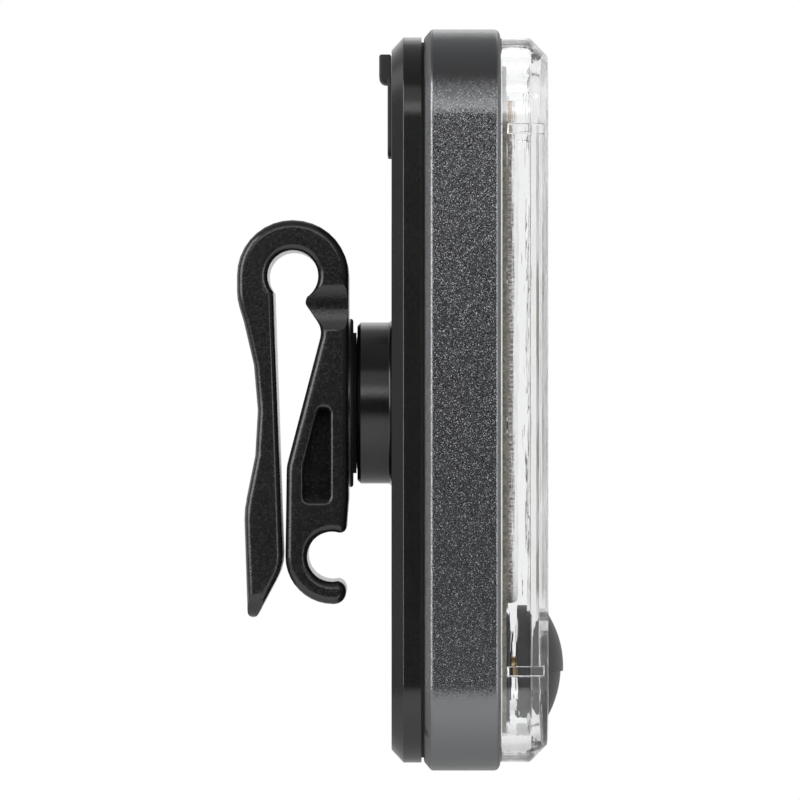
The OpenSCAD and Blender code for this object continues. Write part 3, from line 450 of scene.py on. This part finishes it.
# Finish of each slot: for a moulding or metal two tones, roughness, grain size and grain depth
FINISHES = {
    "clip_black": clip_plastic("clip_black"),
    "cover_black": moulded("cover_black", grey(0.005), grey(0.008, blue=0.06), 0.20,
                           0.12 * MM, 0.003 * MM),
    "housing_gunmetal": gunmetal("housing_gunmetal"),
    "lens_clear": clear_plastic("lens_clear"),
    "rubber": moulded("rubber", grey(0.016), grey(0.022), 0.70, 0.10 * MM, 0.006 * MM),
    "button_rubber": moulded("button_rubber", grey(0.021), grey(0.028, blue=0.03), 0.50,
                             0.16 * MM, 0.010 * MM),
    "screw_black": metal("screw_black", grey(0.03), grey(0.05), 0.45, 0.2 * MM, 0.004 * MM),
    "steel": metal("steel", grey(0.50), grey(0.62), 0.30, 0.3 * MM, 0.003 * MM),
    "brass": metal("brass", (0.62, 0.42, 0.20, 1.0), (0.76, 0.54, 0.30, 1.0), 0.32,
                   0.3 * MM, 0.003 * MM),
    "chassis_black": moulded("chassis_black", grey(0.014), grey(0.022), 0.50,
                             0.15 * MM, 0.006 * MM),
    "cell_foil": metal("cell_foil", grey(0.55), grey(0.68), 0.35, 2.0 * MM, 0.03 * MM),
    "foam": moulded("foam", grey(0.030), grey(0.050), 0.90, 0.35 * MM, 0.06 * MM),
    "board_green": moulded("board_green", (0.02, 0.12, 0.05, 1.0), (0.03, 0.17, 0.07, 1.0),
                           0.35, 0.5 * MM, 0.004 * MM),
    "board_white": faced("board_white", grey(0.74), grey(0.80)),
    "led_phosphor": phosphor("led_phosphor"),
    "film_white": faced("film_white", grey(0.80), grey(0.86)),
}


# Charging socket: half size of its plastic blade, and its contacts
BLADE_HALF = (3.5 * MM, 0.5 * MM)
BLADE_TONE = grey(0.016)
CONTACT_PITCH = 0.5 * MM
CONTACT_HALF = 2.75 * MM
CONTACT_TONE = (0.70, 0.50, 0.20, 1.0)
CRISP = 0.03 * MM


def socket(name):
    """Steel shell round a black plastic blade with gold contacts."""
    finish = metal(name, grey(0.50), grey(0.62), rough=0.24,
                   grain=0.10 * MM, depth=0.0004 * MM)
    low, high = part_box("usb_socket")
    middle = (0.0, 0.0, (low[2] + high[2]) / 2)
    off = vector(finish.tree, "SUBTRACT", finish.place, middle)
    parts = split(finish.tree, vector(finish.tree, "ABSOLUTE", off))

    def within(value, limit):
        """1 below a limit, else 0."""
        return finish.remap(value, limit, limit + CRISP, 1.0, 0.0)

    blade = number(finish.tree, "MULTIPLY",
                   within(parts["Y"], BLADE_HALF[0]), within(parts["Z"], BLADE_HALF[1]))
    step = number(finish.tree, "FLOORED_MODULO", parts["Y"], CONTACT_PITCH)
    strip = number(finish.tree, "MULTIPLY",
                   within(step, CONTACT_PITCH / 2), within(parts["Y"], CONTACT_HALF))
    shell = finish.shader.inputs["Base Color"].links[0].from_socket
    plastic = finish.mix(strip, BLADE_TONE, CONTACT_TONE)
    finish.drive("Base Color", finish.mix(blade, shell, plastic))
    bare = number(finish.tree, "SUBTRACT", blade, strip)
    finish.drive("Metallic", finish.remap(bare, 0.0, 1.0, 1.0, 0.0))
    return finish


# Nodes whose finish has details of its own
OWN_FINISH = {"led_resistors": resistor("chip_resistor"), "usb_socket": socket("charging_socket")}


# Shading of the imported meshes: weld the split facets, then round where the edge is soft
def mesh_group(name):
    """An empty node group for a modifier, and the mesh that comes in."""
    tree = bpy.data.node_groups.new(name, "GeometryNodeTree")
    for way in ("INPUT", "OUTPUT"):
        tree.interface.new_socket("Geometry", in_out=way, socket_type="NodeSocketGeometry")
    return tree, add(tree, "NodeGroupInput").outputs[0]


def soft_shading():
    """Node group that welds a mesh and marks as sharp only edges above the smooth angle."""
    tree, source = mesh_group("soft_shading")
    bare = add(tree, "GeometryNodeRemoveAttribute",
               {"Geometry": source, "Name": "custom_normal"}).outputs[0]
    welded = add(tree, "GeometryNodeMergeByDistance",
                 {"Geometry": bare, "Distance": WELD}).outputs[0]
    smooth = add(tree, "GeometryNodeSetShadeSmooth",
                 {"Geometry": welded, "Shade Smooth": True}, domain="FACE").outputs[0]
    angle = add(tree, "GeometryNodeInputMeshEdgeAngle").outputs["Unsigned Angle"]
    sharp = add(tree, "FunctionNodeCompare", {"A": angle, "B": SMOOTH_ANGLE},
                data_type="FLOAT", operation="GREATER_THAN").outputs[0]
    edged = add(tree, "GeometryNodeSetShadeSmooth",
                {"Geometry": smooth, "Selection": sharp, "Shade Smooth": False},
                domain="EDGE").outputs[0]
    add(tree, "NodeGroupOutput", {0: edged})
    return tree


# Rounding of the moulded edges that show, and its reach in from the outside of a node
ROUNDED = {"back_cover": 0.06 * MM, "housing": 0.16 * MM, "lens": 0.10 * MM}
ROUND_DEPTH = {"back_cover": 1.42 * MM, "housing": 1.1 * MM, "lens": 40 * MM}
ROUND_SEGMENTS = 2
CASE_CORNER = 8.5 * MM


def outer_edges(node):
    """Node group that marks for rounding the sharp edges near the outside of a node."""
    low, high = (Vector(corner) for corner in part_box(node))
    middle, half = (low + high) / 2, (high - low) / 2
    tree, source = mesh_group("outer_edges_" + node)
    place = add(tree, "GeometryNodeInputPosition").outputs[0]
    aside = vector(tree, "ABSOLUTE", vector(tree, "SUBTRACT", place, middle))
    flat = vector(tree, "MULTIPLY", aside, (0.0, 1.0, 1.0))
    straight = (0.0, half.y - CASE_CORNER, half.z - CASE_CORNER)
    over = vector(tree, "SUBTRACT", flat, straight)
    parts = split(tree, over)
    inside = number(tree, "MINIMUM", number(tree, "MAXIMUM", parts["Y"], parts["Z"]))
    beyond = vector(tree, "LENGTH", vector(tree, "MAXIMUM", over), out="Value")
    reach = number(tree, "ADD", beyond, inside)
    near = number(tree, "GREATER_THAN", reach, CASE_CORNER - ROUND_DEPTH[node])
    angle = add(tree, "GeometryNodeInputMeshEdgeAngle").outputs["Unsigned Angle"]
    sharp = number(tree, "GREATER_THAN", angle, SMOOTH_ANGLE)
    weight = number(tree, "MULTIPLY", near, sharp)
    marked = add(tree, "GeometryNodeStoreNamedAttribute",
                 {"Geometry": source, "Name": "bevel_weight_edge", "Value": weight},
                 data_type="FLOAT", domain="EDGE").outputs[0]
    add(tree, "NodeGroupOutput", {0: marked})
    return tree


def dress(node, slot, shading):
    """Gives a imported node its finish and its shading."""
    piece = frame["nodes"][node]
    piece.data.materials.clear()
    piece.data.materials.append(OWN_FINISH.get(node, FINISHES[slot]).material)
    soft = piece.modifiers.new("soft_shading", "NODES")
    soft.node_group = shading
    if node in ROUNDED:
        marks = piece.modifiers.new("outer_edges", "NODES")
        marks.node_group = outer_edges(node)
        edge = piece.modifiers.new("edges", "BEVEL")
        edge.width = ROUNDED[node]
        edge.segments = ROUND_SEGMENTS
        edge.limit_method = "WEIGHT"
        edge.use_clamp_overlap = False
    flat = piece.modifiers.new("flat_faces", "DECIMATE")
    flat.decimate_type = "DISSOLVE"
    flat.angle_limit = FLAT_ANGLE
    flat.delimit = {"SHARP"}
    weighted = piece.modifiers.new("weighted_normals", "WEIGHTED_NORMAL")
    weighted.keep_sharp = True


# Outlines and solids of the added pieces
ARC_STEPS = 6


def rounded(corners):
    """Points of an anticlockwise outline of (u, v, radius) corners, in equal steps."""
    points = []
    for i, (u, v, radius) in enumerate(corners):
        here = Vector((u, v))
        back = (here - Vector(corners[i - 1][:2])).normalized()
        on = (Vector(corners[(i + 1) % len(corners)][:2]) - here).normalized()
        turn = math.atan2(back.x * on.y - back.y * on.x, back.dot(on))
        side = math.copysign(1.0, turn)
        left = Vector((-back.y, back.x))
        centre = here - back * radius * math.tan(abs(turn) / 2) + left * radius * side
        for k in range(ARC_STEPS + 1):
            a = turn * k / ARC_STEPS
            spun = Vector((left.x * math.cos(a) - left.y * math.sin(a),
                           left.x * math.sin(a) + left.y * math.cos(a)))
            points.append(centre - spun * radius * side)
    return points


def rectangle(u0, u1, v0, v1, radius):
    """Corners of a rectangle with round corners."""
    return [(u1, v0, radius), (u1, v1, radius), (u0, v1, radius), (u0, v0, radius)]


def loft(name, rings, slot, hollow=False):
    """A closed solid through rings of matching points; hollow joins the last to the first."""
    count = len(rings[0])
    points = [point for ring in rings for point in ring]
    if hollow:
        faces = [((len(rings) - 1) * count + i, (len(rings) - 1) * count + (i + 1) % count,
                  (i + 1) % count, i) for i in range(count)]
    else:
        faces = [tuple(range(count)), tuple(range(len(points) - count, len(points)))]
    for k in range(len(rings) - 1):
        for i in range(count):
            j = (i + 1) % count
            faces.append((k * count + i, k * count + j, (k + 1) * count + j, (k + 1) * count + i))
    mesh = bpy.data.meshes.new(name)
    mesh.from_pydata(points, [], faces)
    shape = bmesh.new()
    shape.from_mesh(mesh)
    bmesh.ops.recalc_face_normals(shape, faces=shape.faces)
    shape.to_mesh(mesh)
    shape.free()
    mesh.shade_smooth()
    mesh.materials.append(FINISHES[slot].material)
    piece = bpy.data.objects.new(name, mesh)
    bpy.context.scene.collection.objects.link(piece)
    weighted = piece.modifiers.new("weighted_normals", "WEIGHTED_NORMAL")
    weighted.keep_sharp = True
    return piece


def fall(depth, radius):
    """Inset of a rounded edge at a depth below its crest."""
    if depth >= radius:
        return 0.0
    return radius - math.sqrt(radius * radius - (radius - depth) ** 2)


# Rubber flap: one moulding from its anchor to its top, with close rows at the hinge
FLAP_T = 1.05 * MM
FLAP_CORNER = 1.2 * MM
FLAP_EDGE = 0.22 * MM
FLAP_BEND = 1.1 * MM
FLAP_PROUD = 0.4 * MM
TAB_W = 8.0 * MM
TAB_H = 2.9 * MM
TAB_RISE = 2.3 * MM
TAB_CORNER = 0.7 * MM
TAB_EDGE = 0.25 * MM
TAB_REST = 0.02 * MM
PLUG_W = 8.94 * MM
PLUG_H = 3.26 * MM
PLUG_EDGE = 0.2 * MM
PLUG_LAP = 0.2 * MM

# Flap rows on each side of the hinge, and how corners shrink with the inset of a rounded end
BEND_ROWS = 8
FLAP_SHRINK = 0.4
TAB_SHRINK = 0.5
PLUG_SHRINK = 1.5


def edge_depths(radius):
    """Depths of the rows of a rounded edge, from its crest."""
    return [radius * (1 - math.cos(math.pi / 2 * k / ARC_STEPS)) for k in range(ARC_STEPS + 1)]


def make_flap():
    """The flap with its pull tab and its plug, for the flap's and the anchor's solids."""
    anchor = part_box("flap_anchor")
    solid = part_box("port_flap")
    hinge = next(j for j in frame["record"]["behaviour"]["joints"] if j["name"] == "flap_hinge")
    hinge_z = hinge["pos_m"][2]
    x0, x1 = anchor[0][0], anchor[0][0] + FLAP_T
    z0, z1 = anchor[0][2], solid[1][2] - TAB_RISE
    half = (anchor[1][1] - anchor[0][1]) / 2

    depths = sorted(set(edge_depths(FLAP_EDGE) + edge_depths(FLAP_CORNER)))
    bend = [hinge_z + FLAP_BEND * k / BEND_ROWS for k in range(-BEND_ROWS - 1, BEND_ROWS + 2)]
    low = [z0 + d for d in depths if z0 + d < bend[0]]
    rows = low + bend + [z1 - d for d in reversed(depths)]
    rings = []
    for z in rows:
        depth = max(min(z - z0, z1 - z), 0.0)
        thin = fall(depth, FLAP_EDGE)
        side = half - fall(depth, FLAP_CORNER)
        edge = FLAP_EDGE - FLAP_SHRINK * thin
        outline = rounded(rectangle(x0 + thin, x1 - thin, -side, side, edge))
        rings.append([(p.x, p.y, z) for p in outline])
    plate = loft("flap_plate", rings, "rubber")
    x = hinge["pos_m"][0]
    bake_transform(plate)
    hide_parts("flap_anchor", "port_flap")

    top, outer, inner = solid[1][2], solid[0][0], x0 + FLAP_PROUD - TAB_REST
    rings = []
    for y in ([-TAB_W / 2 + d for d in edge_depths(TAB_EDGE)]
              + [TAB_W / 2 - d for d in reversed(edge_depths(TAB_EDGE))]):
        inset = fall(TAB_W / 2 - abs(y), TAB_EDGE)
        edge = TAB_EDGE - TAB_SHRINK * inset
        outline = rounded([
            (inner, top - TAB_H + inset, TAB_EDGE), (inner, top - inset, edge),
            (outer + inset, top - inset, edge),
            (outer + inset, top - TAB_H + inset, TAB_CORNER - inset)])
        rings.append([(p.x, y, p.y) for p in outline])
    tab = loft("flap_tab", rings, "rubber")
    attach(tab, "flap_body")

    port_z = (hinge_z + z1) / 2
    rings = []
    for x in [x1 - PLUG_LAP] + [solid[1][0] - d for d in reversed(edge_depths(PLUG_EDGE))]:
        inset = fall(solid[1][0] - x, PLUG_EDGE)
        outline = rounded(rectangle(-PLUG_W / 2 + inset, PLUG_W / 2 - inset,
                                    port_z - PLUG_H / 2 + inset, port_z + PLUG_H / 2 - inset,
                                    PLUG_H / 2 - PLUG_SHRINK * inset))
        rings.append([(x, p.x, p.y) for p in outline])
    plug = loft("flap_plug", rings, "rubber")
    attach(plug, "flap_body")


# Rubber seal round the switch, under the button
SEAL_HALF_W = 11.8 * MM
SEAL_HALF_H = 5.4 * MM
SEAL_T = 0.4 * MM
SEAL_R = 3.0 * MM
SEAL_EDGE = 0.12 * MM
SEAL_GAP = 0.1 * MM
SEAL_IN_R = 0.5 * MM


def make_seal():
    """Flat rubber seal on the white film, with a window for the switch."""
    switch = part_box("tact_switch")
    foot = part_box("reflector")[1][0]
    middle = (switch[0][2] + switch[1][2]) / 2
    hole_w = (switch[1][1] - switch[0][1]) / 2 + SEAL_GAP
    hole_h = (switch[1][2] - switch[0][2]) / 2 + SEAL_GAP

    def ring(x, half_w, half_h, radius):
        """One outline of the seal at a place along X."""
        outline = rounded(rectangle(-half_w, half_w, middle - half_h, middle + half_h, radius))
        return [(x, p.x, p.y) for p in outline]

    rings = [
        ring(foot, SEAL_HALF_W, SEAL_HALF_H, SEAL_R),
        ring(foot + SEAL_T - SEAL_EDGE, SEAL_HALF_W, SEAL_HALF_H, SEAL_R),
        ring(foot + SEAL_T, SEAL_HALF_W - SEAL_EDGE, SEAL_HALF_H - SEAL_EDGE, SEAL_R - SEAL_EDGE),
        ring(foot + SEAL_T, hole_w, hole_h, SEAL_IN_R),
        ring(foot, hole_w, hole_h, SEAL_IN_R),
    ]
    seal = loft("switch_seal", rings, "rubber", hollow=True)
    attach(seal, "case_body")


# Floor, light and camera
def make_floor():
    """Pale round floor whose edge fades out, so that it never cuts the background."""
    ring = [(FLOOR_CENTRE[0] + FLOOR_R * math.cos(a), FLOOR_CENTRE[1] + FLOOR_R * math.sin(a),
             FLOOR_Z) for a in (2 * math.pi * i / FLOOR_POINTS for i in range(FLOOR_POINTS))]
    mesh = bpy.data.meshes.new("floor")
    mesh.from_pydata(ring, [], [tuple(range(FLOOR_POINTS))])
    floor = bpy.data.objects.new("floor", mesh)
    bpy.context.scene.collection.objects.link(floor)

    material = bpy.data.materials.new("floor")
    material.use_nodes = True
    tree = material.node_tree
    tree.nodes.clear()
    place = add(tree, "ShaderNodeTexCoord").outputs["Object"]
    far = vector(tree, "DISTANCE", place, (*FLOOR_CENTRE, FLOOR_Z), "Value")
    fade = add(tree, "ShaderNodeMapRange",
               {"Value": far, "From Min": FLOOR_SOLID_R, "From Max": FLOOR_R},
               interpolation_type="SMOOTHSTEP").outputs["Result"]
    back = add(tree, "ShaderNodeNewGeometry").outputs["Backfacing"]
    gone = number(tree, "MAXIMUM", fade, back)
    lit = add(tree, "ShaderNodeBsdfDiffuse", {"Color": grey(FLOOR_TONE)}).outputs[0]
    shiny = add(tree, "ShaderNodeLightPath").outputs["Is Glossy Ray"]
    # Painted shadow: reflections see the floor fade from bright in front to dull behind, where
    # the part's shadow falls
    near, behind = FLOOR_PAINTED_SHADE_Y
    shine = add(tree, "ShaderNodeMapRange",
                {"Value": split(tree, place)["Y"], "From Min": near, "From Max": behind,
                 "To Min": FLOOR_SHINE, "To Max": FLOOR_PAINTED_SHADE}).outputs["Result"]
    level = add(tree, "ShaderNodeMapRange",
                {"Value": shiny, "To Min": FLOOR_GLOW, "To Max": shine}).outputs["Result"]
    glow = add(tree, "ShaderNodeEmission", {"Color": grey(1.0), "Strength": level}).outputs[0]
    both = add(tree, "ShaderNodeAddShader", {0: lit, 1: glow}).outputs[0]
    through = add(tree, "ShaderNodeBsdfTransparent").outputs[0]
    shader = add(tree, "ShaderNodeMixShader", {0: gone, 1: both, 2: through}).outputs[0]
    add(tree, "ShaderNodeOutputMaterial", {"Surface": shader})
    mesh.materials.append(material)


def make_lamps():
    """Softboxes that look at the part."""
    for name, place, width, height, watts in LAMPS:
        lamp = bpy.data.lights.new(name, "AREA")
        lamp.shape = "RECTANGLE"
        lamp.size, lamp.size_y = width, height
        lamp.energy = watts
        holder = bpy.data.objects.new(name, lamp)
        holder.location = place
        holder.rotation_euler = (LAMP_TARGET - Vector(place)).to_track_quat("-Z", "Y").to_euler()
        holder.visible_camera = False
        bpy.context.scene.collection.objects.link(holder)


def make_world():
    """White to the camera; dim behind the camera for reflections, as in a studio."""
    world = bpy.data.worlds.new("studio")
    world.use_nodes = True
    tree = world.node_tree
    tree.nodes.clear()
    away = split(tree, add(tree, "ShaderNodeTexCoord").outputs["Generated"])["Y"]
    along = add(tree, "ShaderNodeMapRange",
                {"Value": away, "From Min": -1.0, "From Max": 1.0}).outputs["Result"]
    rays = add(tree, "ShaderNodeLightPath")

    def graded(levels):
        """Background whose level follows the direction."""
        ramp = add(tree, "ShaderNodeValToRGB", {"Fac": along})
        stops = ramp.color_ramp.elements
        while len(stops) < len(levels):
            stops.new(1.0)
        for stop, (position, level) in zip(stops, levels):
            stop.position = position
            stop.color = grey(level)
        return add(tree, "ShaderNodeBackground", {"Color": ramp.outputs["Color"]}).outputs[0]

    def even(level):
        """Background of one level."""
        return add(tree, "ShaderNodeBackground",
                   {"Color": grey(1.0), "Strength": level}).outputs[0]

    def choose(ray, others, shown):
        """Shows one background to rays of a kind and the other to the rest."""
        return add(tree, "ShaderNodeMixShader",
                   {0: rays.outputs[ray], 1: others, 2: shown}).outputs[0]

    sky = choose("Is Glossy Ray", even(WORLD_DIFFUSE), graded(GLOSS_LEVELS))
    sky = choose("Is Transmission Ray", sky, graded(CLEAR_LEVELS))
    sky = choose("Is Camera Ray", sky, even(WORLD_SHOWN))
    add(tree, "ShaderNodeOutputWorld", {"Surface": sky})
    bpy.context.scene.world = world


def make_camera():
    """The photograph's side view."""
    data = bpy.data.cameras.new("camera")
    data.sensor_width = SENSOR
    data.lens = SENSOR * (NEAR_FACE_Y - CAMERA_FROM.y) / VIEW_WIDTH
    camera = bpy.data.objects.new("camera", data)
    camera.location = CAMERA_FROM
    camera.rotation_euler = (math.radians(90), 0.0, 0.0)
    bpy.context.scene.collection.objects.link(camera)
    bpy.context.scene.camera = camera


SHADING = soft_shading()
for row in frame["record"]["subparts"]:
    dress(row["node"], row["material_slot"], SHADING)
# Light reaches the strip through the clear lens
frame["nodes"]["lens"].visible_shadow = False
make_flap()
make_seal()
make_floor()
make_lamps()
make_world()
make_camera()
bpy.context.scene.view_settings.view_transform = "Standard"
bpy.context.scene.cycles.max_bounces = LENS_BOUNCES
bpy.context.scene.cycles.glossy_bounces = LENS_BOUNCES
bpy.context.scene.cycles.transmission_bounces = LENS_BOUNCES
